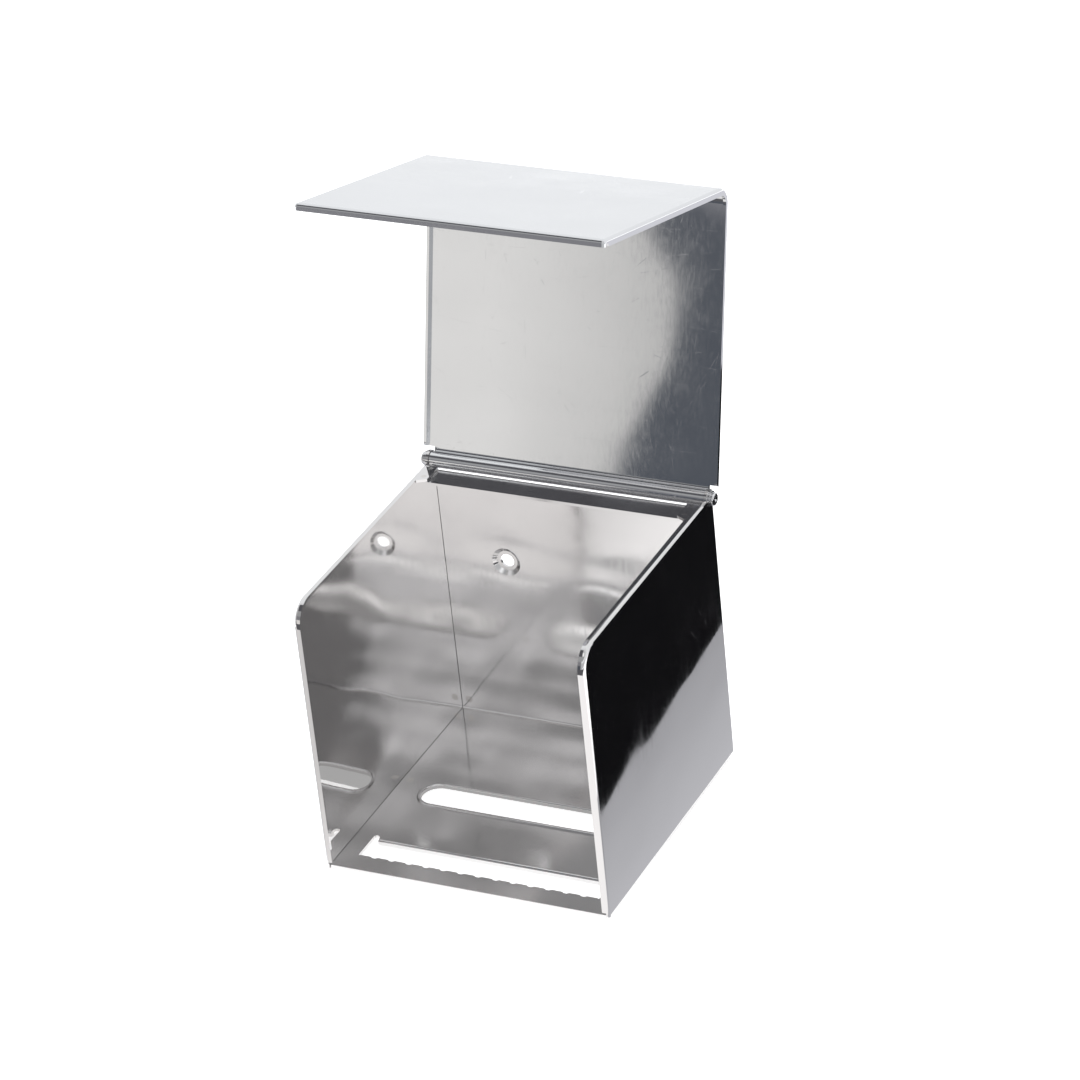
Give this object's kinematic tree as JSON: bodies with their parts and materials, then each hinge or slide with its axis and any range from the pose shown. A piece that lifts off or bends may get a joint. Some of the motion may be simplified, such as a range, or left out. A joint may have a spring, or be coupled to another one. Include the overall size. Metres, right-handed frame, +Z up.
{
  "type": "wall-mounted toilet roll dispenser",
  "caption": "Polished sheet-steel toilet roll dispenser box with an L-shaped hinged lid, toothed paper slot and pressed seats for wall screws.",
  "frame": {"origin": "midway between the two wall screw holes, on the plane of the wall", "axes": "+X to the right seen from the front, +Y into the wall, +Z up"},
  "size_m": [0.1308, 0.1585, 0.2753],
  "materials": {
    "bent_sheet": "polished",
    "side_sheet": "polished",
    "lid_sheet": "satin",
    "hinge_steel": "satin",
    "weld_metal": "satin"
  },
  "bodies": {
    "box": {"back_and_base": "bent_sheet", "left_side_panel": "side_sheet", "right_side_panel": "side_sheet", "hinge_pin": "hinge_steel", "left_washer": "hinge_steel", "right_washer": "hinge_steel", "left_tab_welds": "weld_metal", "left_back_weld": "weld_metal", "left_base_weld": "weld_metal", "right_tab_welds": "weld_metal", "right_back_weld": "weld_metal", "right_base_weld": "weld_metal"},
    "lid": {"lid": "lid_sheet"}
  },
  "joints": [
    {"name": "lid_hinge", "type": "hinge", "parent": "box", "child": "lid", "pos_m": [0, -0.0038, 0.0453], "axis": [1, 0, 0], "range_deg": [0, 105.2]}
  ]
}
